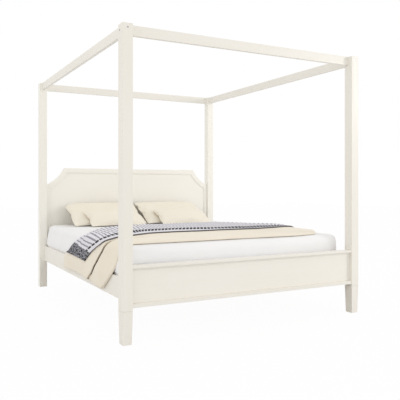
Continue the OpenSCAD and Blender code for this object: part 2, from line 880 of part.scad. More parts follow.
// Screw bore into the board behind a bracket; direction is -1 into the footboard
module bracket_screw_bore(face, direction, side) {
    start = direction < 0 ? face - bracket_screw_reach - 1 : face - bracket_thick - 1;
    rod_y([side * beam_width / 4, start, bracket_screw_z], bracket_screw_reach + bracket_thick + 2,
        screw_diameter / 2 + bore_clearance);
}

// A steel cup that carries one end of the beam, drawn at the foot end
module beam_bracket() {
    fit = bore_clearance;
    outer = beam_width / 2 + bracket_thick + fit;
    difference() {
        span([-outer, 0, beam_bottom - bracket_thick], [outer, bracket_thick + bracket_lip, slat_bottom - 2]);
        span([-beam_width / 2 - fit, bracket_thick, beam_bottom],
            [beam_width / 2 + fit, bracket_thick + bracket_lip + 1, slat_bottom]);
        for (side = [-1, 1])
            rod_y([side * beam_width / 4, -1, bracket_screw_z], bracket_thick + 2,
                screw_diameter / 2 + bore_clearance);
    }
}

module beam_brackets() {
    color("silver") {
        translate([0, footboard_back, 0]) beam_bracket();
        translate([0, headboard_y, 0]) mirror([0, 1, 0]) beam_bracket();
    }
}

module bracket_screw() {
    rod_y([0, bracket_thick, 0], screw_head_height, screw_head_diameter / 2);
    rod_y([0, -bracket_screw_reach, 0], bracket_screw_reach + bracket_thick, screw_diameter / 2);
}

module bracket_screws() {
    color("gray") both_sides() {
        translate([beam_width / 4, footboard_back, bracket_screw_z]) bracket_screw();
        translate([beam_width / 4, headboard_y, bracket_screw_z]) mirror([0, 1, 0]) bracket_screw();
    }
}

module centre_leg(y) {
    half = leg_side / 2;
    color("tan") difference() {
        span([-half, y - half, leg_bottom], [half, y + half, beam_bottom]);
        rod_z([0, y, leg_bottom - 1], stem_bore_depth + 1, stem_diameter / 2 + 0.05);
    }
}

module centre_leg_middle() { centre_leg(0); }
module centre_leg_head() { centre_leg(leg_spacing); }

module leveller(y) {
    color("dimgray") {
        rod_z([0, y, 0], leveller_pad, leveller_diameter / 2);
        rod_z([0, y, leveller_pad - 1], stem_gap + stem_length + 1, stem_diameter / 2);
    }
}

module leveller_middle() { leveller(0); }
module leveller_head() { leveller(leg_spacing); }

// ---- bedding ----

// A round corner block of the mattress with soft upper and lower edges
module mattress_corner_block() {
    inner = mattress_corner - mattress_edge;
    rotate_extrude($fn = 32) {
        square([inner, mattress_thick]);
        square_top = mattress_thick - 2 * mattress_edge;
        translate([0, mattress_edge]) square([mattress_corner, square_top]);
        for (z = [mattress_edge, mattress_thick - mattress_edge])
            translate([inner, z]) intersection() {
                circle(r = mattress_edge, $fn = 32);
                translate([0, -mattress_edge]) square(2 * mattress_edge);
            }
    }
}

module mattress() {
    mid = mattress_foot + mattress_length / 2;
    x = mattress_half - mattress_corner;
    y = mattress_length / 2 - mattress_corner;
    color("white") translate([0, mid, mattress_bottom]) hull()
        for (sx = [-1, 1], sy = [-1, 1]) translate([sx * x, sy * y, 0]) mattress_corner_block();
}

// The path of a layer over the +X half of the bed, a given distance out from the mattress
function cover_path(out) = [
    [mattress_half + soft_clearance - cover_chamfer + out, mattress_top + soft_clearance + out],
    [mattress_half + soft_clearance + out, mattress_top + soft_clearance - cover_chamfer + out / 2],
    [hang_x + out, side_rail_top + 1],
    [hang_x + out, duvet_hem - 1]
];

// The section of a cover that lies on the bed and hangs outside the side rails
module cover_section(inner, outer) {
    under = cover_path(inner);
    over = cover_path(outer);
    right = concat(under, [for (i = [len(over) - 1 : -1 : 0]) over[i]]);
    left = [for (i = [len(right) - 1 : -1 : 0]) [-right[i].x, right[i].y]];
    polygon(concat(right, left));
}

module cover(inner, outer, foot, head) {
    translate([0, head, 0]) rotate([90, 0, 0]) linear_extrude(head - foot) cover_section(inner, outer);
}

// A side view, Y along and Z up, cut through the whole width
module side_view_cut() {
    translate([-bed_width, 0, 0]) rotate([90, 0, 90]) linear_extrude(2 * bed_width) children();
}

module duvet() {
    lower = mattress_top + soft_clearance;
    color("moccasin") intersection() {
        cover(0, duvet_thick, duvet_foot, duvet_head);
        side_view_cut() polygon([
            [duvet_foot, duvet_top + 1], [duvet_foot, lower - 10], [duvet_foot + duvet_fallback, duvet_hem],
            [duvet_head + 1, duvet_hem], [duvet_head + 1, duvet_top + 1]
        ]);
    }
}

// The throw lies on the duvet, and beyond the duvet's head edge on the mattress
module throw() {
    inner = duvet_thick + soft_clearance;
    outer = inner + throw_thick;
    step_y = duvet_head + soft_clearance;
    end_foot = throw_foot + throw_end_setback;
    end_head = end_foot + throw_end_width;
    knee_z = mattress_top - mattress_edge;
    color("lightsteelblue") intersection() {
        union() {
            cover(inner, outer, throw_foot, step_y);
            cover(0, outer, step_y, throw_head);
        }
        side_view_cut() polygon([
            [throw_foot - 1, throw_top + 1], [throw_foot - 1, knee_z], [end_foot, throw_hem],
            [end_head, throw_hem], [throw_head, knee_z], [throw_head, throw_top + 1]
        ]);
    }
}

// A lens between two arcs over a chord from -half to half, bulging up and down by its sagittas
module lens(half, up, down) {
    up_radius = (half * half + up * up) / (2 * up);
    down_radius = (half * half + down * down) / (2 * down);
    intersection() {
        translate([0, up - up_radius]) circle(r = up_radius, $fn = 1440);
        translate([0, down_radius - down]) circle(r = down_radius, $fn = 1440);
    }
}

// A plump pillow, lying flat about its own middle: X across, Y up its slope
module pillow(width, length, up, down) {
    intersection() {
        translate([-width / 2, 0, 0]) rotate([90, 0, 90]) linear_extrude(width) lens(length / 2, up, down);
        translate([0, length / 2, 0]) rotate([90, 0, 0]) linear_extrude(length) lens(width / 2, up, down);
    }
}

module back_pillow(x) {
    color("wheat") translate([x, back_y, back_z]) rotate([back_tilt, 0, 0])
        pillow(back_pillow_width, back_pillow_length, back_up, back_down);
}

module front_pillow(x) {
    color("wheat") translate([x, front_y, front_z]) rotate([front_tilt, 0, 0])
        pillow(front_pillow_width, front_pillow_length, front_up, front_down);
}

module pillow_back_left() { back_pillow(back_left_x); }
module pillow_back_right() { back_pillow(back_right_x); }
module pillow_front_left() { front_pillow(front_left_x); }
module pillow_front_right() { front_pillow(front_right_x); }

post_foot_left();
post_foot_right();
post_head_left();
post_head_right();
post_glides();
canopy_rail_foot();
canopy_rail_head();
canopy_rail_left();
canopy_rail_right();
canopy_bolts();
canopy_barrel_nuts();
canopy_dowels();
headboard_top_rail();
headboard_corner_left();
headboard_corner_right();
headboard_stile_left();
headboard_stile_right();
headboard_bottom_rail();
headboard_panel();
headboard_bead();
headboard_dowels();
footboard_panel();
footboard_cap();
footboard_cove();
footboard_strip_left();
footboard_strip_right();
footboard_base_moulding();
footboard_dowels();
side_rail_left();
side_rail_right();
rail_hook_plates();
post_slot_plates();
plate_screws();
ledger_left();
ledger_right();
ledger_screws();
slats();
slat_screws();
centre_beam();
beam_brackets();
bracket_screws();
centre_leg_middle();
centre_leg_head();
leveller_middle();
leveller_head();
mattress();
duvet();
throw();
pillow_back_left();
pillow_back_right();
pillow_front_left();
pillow_front_right();
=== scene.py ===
import bpy
import bmesh
import math
import numpy as np
from mathutils import Vector, Matrix, noise


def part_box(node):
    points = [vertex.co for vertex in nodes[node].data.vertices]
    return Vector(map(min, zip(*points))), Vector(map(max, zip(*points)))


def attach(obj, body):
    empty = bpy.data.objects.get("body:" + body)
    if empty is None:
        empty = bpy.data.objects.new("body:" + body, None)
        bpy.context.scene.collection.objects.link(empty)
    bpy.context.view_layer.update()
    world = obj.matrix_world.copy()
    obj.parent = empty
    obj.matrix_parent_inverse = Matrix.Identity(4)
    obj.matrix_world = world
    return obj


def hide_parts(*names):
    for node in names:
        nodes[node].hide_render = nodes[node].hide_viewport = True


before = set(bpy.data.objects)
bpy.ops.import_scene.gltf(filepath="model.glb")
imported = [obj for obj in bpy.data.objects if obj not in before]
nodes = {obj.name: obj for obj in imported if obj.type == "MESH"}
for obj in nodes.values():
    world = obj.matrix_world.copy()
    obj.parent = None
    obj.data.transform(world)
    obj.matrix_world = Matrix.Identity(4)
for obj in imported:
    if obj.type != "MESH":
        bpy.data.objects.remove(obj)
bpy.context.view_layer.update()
scene = bpy.context.scene
print("frame loaded:", len(nodes), "nodes")

cameraSet = {
    "place": (-2.335, -4.115, 1.030),
    "turn": 25.15,        # degrees towards the right post
    "lens": 45.94,
    "shiftX": 0.15,
    "shiftY": -0.0345,
}
cameraData = bpy.data.cameras.new("camera")
cameraData.lens = cameraSet["lens"]
cameraData.shift_x = cameraSet["shiftX"]
cameraData.shift_y = cameraSet["shiftY"]
cameraData.clip_end = 60
camera = bpy.data.objects.new("camera", cameraData)
camera.location = cameraSet["place"]
camera.rotation_euler = (math.radians(90), 0, -math.radians(cameraSet["turn"]))
scene.collection.objects.link(camera)
scene.camera = camera
scene.view_settings.view_transform = "Standard"


class Wire:
    # a socket that takes sums and products and adds the Math nodes for them
    def __init__(self, finish, socket):
        self.finish = finish
        self.socket = socket

    def math(self, operation, first, second):
        return self.finish.node("ShaderNodeMath", {"operation": operation}, {0: first, 1: second})

    def __add__(self, other):
        return self.math("ADD", self, other)

    def __radd__(self, other):
        return self.math("ADD", other, self)

    def __sub__(self, other):
        return self.math("SUBTRACT", self, other)

    def __rsub__(self, other):
        return self.math("SUBTRACT", other, self)

    def __mul__(self, other):
        return self.math("MULTIPLY", self, other)

    def __rmul__(self, other):
        return self.math("MULTIPLY", other, self)

    def __truediv__(self, other):
        return self.math("DIVIDE", self, other)

    def __mod__(self, other):
        return self.math("MODULO", self, other)

    def __abs__(self):
        return self.math("ABSOLUTE", self, 0.0)

    def most(self, other):
        return self.math("MAXIMUM", self, other)


class Finish:
    # the nodes of one material, or of the world
    def __init__(self, name, owner=None):
        self.material = owner or bpy.data.materials.new(name)
        self.material.use_nodes = True
        self.tree = self.material.node_tree
        self.tree.nodes.clear()

    def node(self, kind, settings=None, sockets=None, output=0):
        made = self.tree.nodes.new(kind)
        for key, value in (settings or {}).items():
            setattr(made, key, value)
        for key, value in (sockets or {}).items():
            socket = made.inputs[key]
            if isinstance(value, Wire):
                self.tree.links.new(value.socket, socket)
            elif isinstance(value, tuple) and socket.type == "RGBA":
                socket.default_value = (*value, 1)
            else:
                socket.default_value = value
        return Wire(self, made.outputs[output]) if len(made.outputs) else None

    def place(self):
        return self.node("ShaderNodeTexCoord", output="Object")

    def flat(self):
        return self.node("ShaderNodeTexCoord", output="UV")

    def scaled(self, vector, scale):
        return self.node("ShaderNodeMapping", {}, {"Vector": vector, "Scale": scale})

    def cloud(self, vector, scale, detail=3.0, rough=0.5, warp=0.0):
        sockets = {"Vector": vector, "Scale": scale, "Detail": detail, "Roughness": rough,
                   "Distortion": warp}
        return self.node("ShaderNodeTexNoise", {}, sockets)

    def axes(self, vector):
        return [self.node("ShaderNodeSeparateXYZ", {}, {0: vector}, output=i) for i in range(2)]

    def spread(self, value, low, high, toLow, toHigh):
        sockets = {"Value": value, "From Min": low, "From Max": high, "To Min": toLow, "To Max": toHigh}
        return self.node("ShaderNodeMapRange", {"clamp": True}, sockets)

    def track(self, value, points):
        # follows straight lines through a list of (value, result) points
        total = points[0][1]
        for (low, start), (high, end) in zip(points, points[1:]):
            total = self.spread(value, low, high, 0, end - start) + total
        return total

    def mix(self, factor, first, second):
        sockets = {0: factor, 6: first, 7: second}
        return self.node("ShaderNodeMix", {"data_type": "RGBA"}, sockets, output=2)

    def bump(self, height, strength, distance, under=None):
        sockets = {"Height": height, "Strength": strength, "Distance": distance}
        if under is not None:
            sockets["Normal"] = under
        return self.node("ShaderNodeBump", {}, sockets)

    def shell(self, **sockets):
        named = {key.replace("_", " "): value for key, value in sockets.items()}
        surface = self.node("ShaderNodeBsdfPrincipled", {}, named)
        self.node("ShaderNodeOutputMaterial", {}, {"Surface": surface})
        return self.material


def linear(*shares):
    # a screen colour from 0 to 255 as the shader's linear colour
    return tuple(c / 255 / 12.92 if c <= 10 else ((c / 255 + 0.055) / 1.055) ** 2.4 for c in shares)


paintLook = {
    "cream": linear(239, 235, 227),
    "shade": linear(237, 233, 224),
    "panel": linear(242, 238, 230),
    "panelShade": linear(240, 236, 227),
    # painted light: a lighter copy of the cream for the headboard and the head posts, which make up for the
    # shade they get
    "board": linear(245, 242, 234),
    "boardShade": linear(243, 240, 231),
    "grainScale": 42,
    "roughLow": 0.34,
    "roughHigh": 0.46,
}


def paintedWood(name, grain, colour, shade):
    # satin paint over wood whose grain shows faintly through it
    finish = Finish(name)
    place = finish.place()
    stretch = {"x": (0.05, 1, 1), "y": (1, 0.05, 1), "z": (1, 1, 0.05)}[grain]
    fibre = finish.cloud(finish.scaled(place, stretch), paintLook["grainScale"] * 4, 4, 0.6, 0.15)
    broad = finish.cloud(place, 1.7, 2)
    brush = finish.cloud(finish.scaled(place, stretch), paintLook["grainScale"], 2, 0.5)
    peel = finish.cloud(place, 620, 1)
    tone = finish.spread(broad * 0.6 + brush * 0.4, 0.35, 0.65, 0, 1)
    paint = finish.mix(tone, colour, shade)
    gloss = finish.spread(brush * 0.5 + fibre * 0.5, 0.35, 0.65, paintLook["roughLow"],
                          paintLook["roughHigh"])
    relief = finish.bump(fibre, 0.05, 0.0006)
    relief = finish.bump(peel, 0.05, 0.0003, relief)
    return finish.shell(Base_Color=paint, Roughness=gloss, Normal=relief, IOR=1.45)


paints = {grain: paintedWood("creamPaint" + grain.upper(), grain, paintLook["cream"], paintLook["shade"])
          for grain in "xyz"}
panelPaint = paintedWood("creamPanelPaint", "x", paintLook["panel"], paintLook["panelShade"])
# painted light: the lighter cream paint for the headboard and the head posts
litHeadPaints = {grain: paintedWood("creamPaintLitHead" + grain.upper(), grain, paintLook["board"],
                                  paintLook["boardShade"])
               for grain in "xz"}


def bareWood(name, grain, pale, dark, ringScale):
    # planed wood with its rings, its fibres and a few knots
    finish = Finish(name)
    place = finish.place()
    stretch = {"x": (0.06, 1, 1), "y": (1, 0.06, 1)}[grain]
    along = finish.scaled(place, stretch)
    warp = finish.cloud(along, 9, 3, 0.5)
    rings = finish.node("ShaderNodeTexWave", {"wave_type": "BANDS", "bands_direction": "DIAGONAL"},
                        {"Vector": along, "Scale": ringScale, "Distortion": 6.0, "Detail": 2.0,
                         "Detail Scale": 1.4}, output=1)
    fibre = finish.cloud(along, 260, 3, 0.6)
    knots = finish.node("ShaderNodeTexVoronoi", {}, {"Vector": along, "Scale": 6.5})
    knot = finish.spread(knots, 0.03, 0.07, 1, 0)
    tone = finish.spread(rings * 0.65 + warp * 0.25 + fibre * 0.25, 0.3, 0.95, 0, 1)
    wood = finish.mix(tone, pale, dark)
    wood = finish.mix(knot * 0.75, wood, linear(112, 72, 42))
    relief = finish.bump(fibre * 0.6 + rings * 0.4, 0.25, 0.0006)
    rough = finish.spread(fibre, 0.3, 0.7, 0.52, 0.68)
    return finish.shell(Base_Color=wood, Roughness=rough, Normal=relief)


pineX = bareWood("planedPineAcross", "x", linear(226, 196, 152), linear(196, 155, 106), 22)
pineY = bareWood("planedPineAlong", "y", linear(222, 191, 147), linear(190, 149, 102), 22)
beech = bareWood("beechDowelWood", "x", linear(224, 190, 150), linear(203, 163, 120), 60)


def steel(name, colour, dull):
    finish = Finish(name)
    place = finish.place()
    grime = finish.cloud(place, 90, 4, 0.6)
    streak = finish.cloud(finish.scaled(place, (1, 1, 9)), 240, 2)
    tint = finish.mix(finish.spread(grime, 0.35, 0.7, 0, 1), colour, dull)
    rough = finish.spread(grime * 0.5 + streak * 0.5, 0.3, 0.7, 0.26, 0.46)
    relief = finish.bump(streak, 0.12, 0.0003)
    return finish.shell(Base_Color=tint, Metallic=1.0, Roughness=rough, Normal=relief)


zinc = steel("brightZinc", linear(198, 200, 203), linear(170, 172, 174))
plate = steel("zincPlate", linear(188, 189, 190), linear(158, 160, 161))


def plastic(name):
    finish = Finish(name)
    place = finish.place()
    grain = finish.cloud(place, 900, 2)
    cloud = finish.cloud(place, 35, 3)
    tint = finish.mix(finish.spread(cloud, 0.35, 0.7, 0, 1), linear(44, 44, 46), linear(62, 62, 63))
    rough = finish.spread(cloud, 0.3, 0.7, 0.5, 0.66)
    return finish.shell(Base_Color=tint, Roughness=rough, Normal=finish.bump(grain, 0.25, 0.0004))


darkPlastic = plastic("mouldedPlastic")


def weave(finish, vector, thread):
    # two crossed sets of threads
    sockets = {"Vector": vector, "Scale": 0.05 / thread, "Distortion": 0.6, "Detail": 1.0,
               "Detail Scale": 3.0}
    warp, weft = (finish.node("ShaderNodeTexWave", {"bands_direction": way}, sockets, output=1)
                  for way in "XY")
    return warp * 0.5 + weft * 0.5


# how strong the painted shade is in the duvet's crease, where shadow falls: (U across the bed, share)
creaseShadeShare = [(-1.24, 0.0), (-1.22, 1.0), (-1.03, 1.0), (-0.95, 0.30), (-0.60, 0.18), (-0.48, 0.0)]


def cotton(name, colour, shade, crinkle, fold=None):
    finish = Finish(name)
    flat = finish.flat()
    place = finish.place()
    cloth = weave(finish, flat, 0.0016)
    slub = finish.cloud(finish.scaled(flat, (1, 14, 1)), 60, 3, 0.6)
    broad = finish.cloud(place, 3.1, 3)
    creased = finish.cloud(place, 11, 4, 0.55, 0.9)
    tone = finish.spread(broad * 0.6 + slub * 0.4, 0.32, 0.68, 0, 1)
    dyed = finish.mix(tone, colour, shade)
    relief = finish.bump(creased, crinkle, 0.010)
    relief = finish.bump(cloth + slub * 0.5, 0.28, 0.0007, relief)
    if fold is not None:  # painted shade: the cloth's colour is darkened deep in the crease, where shadow falls
        u, v = finish.axes(flat)
        gap = v - finish.track(abs(u), fold)
        creaseShade = finish.spread(gap, -0.007, -0.003, 0, 1) * finish.spread(gap, 0.004, 0.007, 1, 0)
        creaseShade = creaseShade * finish.track(u, creaseShadeShare)
        # painted shade: dark brown is mixed into the cloth along the crease line in place of its shadow
        dyed = finish.mix(creaseShade * 0.95, dyed, linear(54, 32, 16))
    rough = finish.spread(slub, 0.3, 0.7, 0.82, 0.94)
    return finish.shell(Base_Color=dyed, Roughness=rough, Normal=relief, Sheen_Weight=0.15,
                        Sheen_Roughness=0.5, Specular_IOR_Level=0.2)


sheetCotton = cotton("whiteSheetCotton", linear(244, 243, 243), linear(240, 240, 241), 0.12)
pillowCotton = cotton("creamPillowCotton", linear(241, 235, 221), linear(238, 230, 214), 0.22)


def deselectAll():
    if bpy.context.object and bpy.context.object.mode != "OBJECT":
        bpy.ops.object.mode_set(mode="OBJECT")
    bpy.ops.object.select_all(action="DESELECT")


def pick(piece):
    deselectAll()
    piece.select_set(True)
    bpy.context.view_layer.objects.active = piece


def applyModifier(piece, kind, **settings):
    pick(piece)
    modifier = piece.modifiers.new(kind.lower(), kind)
    for key, value in settings.items():
        setattr(modifier, key, value)
    bpy.ops.object.modifier_apply(modifier=modifier.name)


def dress(piece, material):
    piece.data.materials.clear()
    piece.data.materials.append(material)


def smooth(value):
    value = min(max(value, 0.0), 1.0)
    return value * value * (3 - 2 * value)


def along(points, t):
    # a smooth curve through a table of (t, value)
    if t <= points[0][0]:
        return points[0][1]
    if t >= points[-1][0]:
        return points[-1][1]
    for i in range(len(points) - 1):
        t0, a = points[i]
        t1, b = points[i + 1]
        if t <= t1:
            before = points[max(i - 1, 0)]
            after = points[min(i + 2, len(points) - 1)]
            slope0 = (b - before[1]) / max(t1 - before[0], 1e-9)
            slope1 = (after[1] - a) / max(after[0] - t0, 1e-9)
            span = t1 - t0
            h = (t - t0) / span
            return ((2 * h ** 3 - 3 * h * h + 1) * a + (h ** 3 - 2 * h * h + h) * span * slope0
                    + (3 * h * h - 2 * h ** 3) * b + (h ** 3 - h * h) * span * slope1)


# the joinery, with its edges eased
joinerySet = {
    "ease": 0.0016,       # how far the arrises are rounded
    "boardEase": 0.0010,
    "shortest": 0.019,    # shorter edges, round the bores, stay sharp
}


def easeEdges(node, ease, material, joints=()):
    source = nodes[node]
    piece = bpy.data.objects.new(node + "_eased", source.data.copy())
    scene.collection.objects.link(piece)
    pick(piece)
    if piece.data.has_custom_normals:
        bpy.ops.mesh.customdata_custom_splitnormals_clear()
    bpy.ops.object.mode_set(mode="EDIT")
    bpy.ops.mesh.select_all(action="SELECT")
    bpy.ops.mesh.remove_doubles(threshold=0.00002)
    bpy.ops.mesh.dissolve_limited(angle_limit=math.radians(0.6))
    bpy.ops.mesh.select_all(action="DESELECT")
    bpy.ops.mesh.select_mode(type="EDGE")
    shape = bmesh.from_edit_mesh(piece.data)
    for edge in shape.edges:
        sharp = len(edge.link_faces) == 2 and edge.calc_face_angle(0) > math.radians(32)
        ends = [v.co for v in edge.verts]
        atJoint = any(all(abs(end[axis] - where) < 0.0002 for end in ends) for axis, where in joints)
        if sharp and not atJoint and edge.calc_length() > joinerySet["shortest"]:
            edge.select_set(True)
    bmesh.update_edit_mesh(piece.data)
    bpy.ops.mesh.bevel(offset=ease, segments=2, profile=0.6, clamp_overlap=False, miter_outer="SHARP")
    bpy.ops.object.mode_set(mode="OBJECT")
    bpy.ops.object.shade_smooth_by_angle(angle=math.radians(33))
    applyModifier(piece, "WEIGHTED_NORMAL", weight=100, keep_sharp=True)
    dress(piece, material)
    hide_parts(node)
    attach(piece, "bed")


ease = joinerySet["ease"]
for node in ("post_foot_left", "post_foot_right"):
    easeEdges(node, ease, paints["z"])
# the head posts take the lighter cream: painted light
for node in ("post_head_left", "post_head_right"):
    easeEdges(node, ease, litHeadPaints["z"])
for node in ("canopy_rail_foot", "canopy_rail_head"):
    easeEdges(node, ease, paints["x"])
for node in ("canopy_rail_left", "canopy_rail_right", "side_rail_left", "side_rail_right"):
    easeEdges(node, ease, paints["y"])

# the headboard's frame pieces are flush at their joints, so nothing is eased there
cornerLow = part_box("headboard_corner_right")[0]
stileLow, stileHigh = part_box("headboard_stile_right")
boardJoints = [(0, cornerLow.x), (0, -cornerLow.x), (2, stileHigh.z), (2, stileLow.z)]
easeEdges("headboard_top_rail", ease, litHeadPaints["x"], boardJoints)
easeEdges("headboard_bottom_rail", ease, litHeadPaints["x"], boardJoints)
for side in ("left", "right"):
    easeEdges("headboard_corner_" + side, ease, litHeadPaints["x"], boardJoints)
    easeEdges("headboard_stile_" + side, ease, litHeadPaints["z"], boardJoints)
easeEdges("headboard_bead", 0.0018, litHeadPaints["x"])
for node in ("footboard_cap", "footboard_base_moulding"):
    easeEdges(node, ease * 1.4, paints["x"])
easeEdges("footboard_cove", joinerySet["boardEase"], paints["x"])
for side in ("left", "right"):
    easeEdges("footboard_strip_" + side, joinerySet["boardEase"], paints["z"])
dress(nodes["headboard_panel"], litHeadPaints["x"])
dress(nodes["footboard_panel"], panelPaint)
for node in ("ledger_left", "ledger_right", "centre_beam"):
    dress(nodes[node], pineY)
for node in ("slats", "centre_leg_middle", "centre_leg_head"):
    dress(nodes[node], pineX)
for node in ("canopy_dowels", "headboard_dowels", "footboard_dowels"):
    dress(nodes[node], beech)
for node in ("canopy_bolts", "canopy_barrel_nuts", "plate_screws", "ledger_screws", "slat_screws",
             "bracket_screws"):
    dress(nodes[node], zinc)
for node in ("rail_hook_plates", "post_slot_plates", "beam_brackets"):
    dress(nodes[node], plate)
for node in ("post_glides", "leveller_middle", "leveller_head"):
    dress(nodes[node], darkPlastic)
print("joinery eased and painted")


# the mattress in its fitted sheet
mattressLow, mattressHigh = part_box("mattress")
mattressSet = {
    "corner": 0.080,
    "edge": 0.046,
    "voxel": 0.014,
    "crown": 0.004,
    "wrinkle": 0.0016,
    "tuckY": 0.485,       # the upright tuck in the sheet's left side
    "tuckTop": 0.62,
    "tuckWide": 0.012,
    "footSwell": 0.016,   # how far the padding fills out towards the footboard, above and below
    "footBelow": 0.022,
    "leftSwell": 0.020,   # how far the left side swells between the rail and the duvet
    "swellLow": 0.415,
    "swellTop": 0.60,
    "square": 0.016,      # how much squarer the left corner is below its rounded top
    "squareTop": 0.59,
}


def rise(edge):
    return abs(edge.verts[0].co.z - edge.verts[1].co.z)


def bevelEdges(piece, wanted, offset, segments):
    bpy.ops.mesh.select_all(action="DESELECT")
    for edge in bmesh.from_edit_mesh(piece.data).edges:
        if wanted(edge):
            edge.select_set(True)
    bmesh.update_edit_mesh(piece.data)
    bpy.ops.mesh.bevel(offset=offset, segments=segments, profile=0.5)


def mattressBody(size, middle):
    # a block with rounded corners and rounded edges, in small even faces
    deselectAll()
    bpy.ops.mesh.primitive_cube_add(size=1, location=middle)
    piece = bpy.context.object
    piece.name = "mattress_in_sheet"
    piece.scale = (size.x + 0.002, size.y - 0.004, size.z - 0.004)
    bpy.ops.object.transform_apply(location=True, rotation=True, scale=True)
    bpy.ops.object.mode_set(mode="EDIT")
    bpy.ops.mesh.select_mode(type="EDGE")
    bevelEdges(piece, lambda edge: rise(edge) > 0.1, mattressSet["corner"], 10)
    bevelEdges(piece, lambda edge: rise(edge) < 0.001 and abs(edge.calc_face_angle(0)) > 0.7,
               mattressSet["edge"], 8)
    bpy.ops.object.mode_set(mode="OBJECT")
    applyModifier(piece, "REMESH", mode="VOXEL", voxel_size=mattressSet["voxel"], adaptivity=0.0)
    applyModifier(piece, "SMOOTH", factor=0.5, iterations=6)
    return piece


def drawSheet(at, size, middle):
    # moves one point of the mattress: the sheet draws into soft upright tucks near the corners and
    # lies a little slack on top
    across = at.x / (size.x / 2)
    down = (at.y - middle.y) / (size.y / 2)
    if at.z > middle.z:
        at.z += mattressSet["crown"] * (1 - across ** 4) * (1 - down ** 4)
    sideways = abs(across) > 0.97 or abs(down) > 0.97
    cornerNear = smooth((abs(at.x) - 0.62) / 0.3) * smooth((abs(at.y - middle.y) - 0.66) / 0.3)
    tuck = noise.noise(Vector((at.x * 9, at.y * 9, at.z * 1.4)))
    slack = noise.noise(Vector((at.x * 3.3 + 4, at.y * 3.3, at.z * 2)))
    amount = mattressSet["wrinkle"] * (tuck * (0.35 + 1.6 * cornerNear) + slack * 0.8)
    if at.x < -0.9:
        below = mattressSet["tuckTop"] - at.z
        fold = (at.y - mattressSet["tuckY"] - 0.05 * below) / mattressSet["tuckWide"]
        amount += 0.006 * math.exp(-fold * fold) * smooth(below / 0.05)
        amount -= 0.003 * math.exp(-((fold + 1.6) ** 2))
    if down < -0.9:
        out = mattressSet["footSwell"] * smooth((mattressHigh.z - at.z) / 0.07)
        out += mattressSet["footBelow"] * smooth((mattressHigh.z - 0.05 - at.z) / 0.12)
        amount += out * smooth((-down - 0.9) / 0.1) * (1 - across ** 6)
    if across < -0.9:
        swell = mattressSet["leftSwell"] * smooth((mattressSet["swellTop"] - at.z) / 0.13)
        at.x -= swell * smooth((at.z - mattressSet["swellLow"]) / 0.02)
    if at.x < 0:
        low = smooth((mattressSet["squareTop"] - at.z) / 0.08) * smooth((-down - 0.8) / 0.2)
        square = mattressSet["square"] * low * cornerNear
        at.x -= square
        at.y -= square
    away = Vector((across if sideways else 0, down if sideways else 0, 0 if sideways else 1))
    if away.length > 0:
        at += away.normalized() * amount


def boxUv(piece):
    # UV in metres, laid on from the side that each face looks to
    layer = piece.data.uv_layers.new(name="cloth")
    for face in piece.data.polygons:
        normal = face.normal
        for loop in face.loop_indices:
            at = piece.data.vertices[piece.data.loops[loop].vertex_index].co
            if abs(normal.z) > 0.6:
                layer.data[loop].uv = (at.x, at.y)
            elif abs(normal.x) > abs(normal.y):
                layer.data[loop].uv = (at.y, at.z)
            else:
                layer.data[loop].uv = (at.x, at.z)


def fittedMattress():
    size = mattressHigh - mattressLow
    middle = (mattressHigh + mattressLow) / 2
    piece = mattressBody(size, middle)
    for vertex in piece.data.vertices:
        drawSheet(vertex.co, size, middle)
    pick(piece)
    bpy.ops.object.shade_smooth()
    boxUv(piece)
    dress(piece, sheetCotton)
    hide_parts("mattress")
    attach(piece, "bed")


fittedMattress()
print("mattress made")


# the surface that the duvet and the throw lie on
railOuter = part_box("side_rail_right")[1].x
topZ = mattressHigh.z
shoulderX = 0.925
coverPathPoints = [  # half of a cut across the bed, at the covers' underside: (X, Z)
    (0.0, topZ + 0.001), (0.40, topZ + 0.001), (0.80, topZ + 0.001), (shoulderX, topZ),
    (0.952, topZ - 0.008), (0.969, topZ - 0.026), (0.9745, topZ - 0.055), (0.979, topZ - 0.095),
    (0.990, topZ - 0.160), (railOuter + 0.0012, topZ - 0.206), (railOuter + 0.0016, topZ - 0.255),
    (railOuter + 0.0016, topZ - 0.420),
]


def pathTable():
    points = []
    for (x0, z0), (x1, z1) in zip(coverPathPoints, coverPathPoints[1:]):
        points += [(x0 + (x1 - x0) * step / 24, z0 + (z1 - z0) * step / 24) for step in range(24)]
    places = np.array(points + [coverPathPoints[-1]])
    for turn in range(60):  # round the corners of the path
        places[1:-1] = places[1:-1] * 0.5 + (places[:-2] + places[2:]) * 0.25
    gaps = np.hypot(*np.diff(places, axis=0).T)
    return places, np.concatenate([[0], np.cumsum(gaps)])


pathPlaces, pathRuns = pathTable()


def pathPoint(run):
    return np.interp(run, pathRuns, pathPlaces[:, 0]), np.interp(run, pathRuns, pathPlaces[:, 1])


def pathAt(run):
    # (x, z, outward x, outward z) at a distance from the bed's centre line
    x, z = pathPoint(run)
    aheadX, aheadZ = pathPoint(min(run + 0.006, pathRuns[-1]))
    behindX, behindZ = pathPoint(max(run - 0.006, 0))
    size = math.hypot(aheadX - behindX, aheadZ - behindZ)
    return x, z, (behindZ - aheadZ) / size, (aheadX - behindX) / size


def runAtZ(z):
    return float(np.interp(-z, -pathPlaces[:, 1], pathRuns))


shoulderRun = float(np.interp(shoulderX, pathPlaces[:, 0], pathRuns))
duvetLow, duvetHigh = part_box("duvet")
duvetSet = {
    "hemZ": duvetLow.z,
    "headY": duvetHigh.y,
    "footY": duvetLow.y,
    "thickFoot": 0.016,   # its thickness at the foot edge, on the bed and on the sides
    "thickHead": 0.025,
    "thickSide": 0.019,
    "round": 0.012,       # the radius of its rim
    "rows": 132,
    "stepTop": 0.014,     # the spacing of its columns on the bed and on the sides
    "stepSide": 0.0075,
}
hemRun = runAtZ(duvetSet["hemZ"])

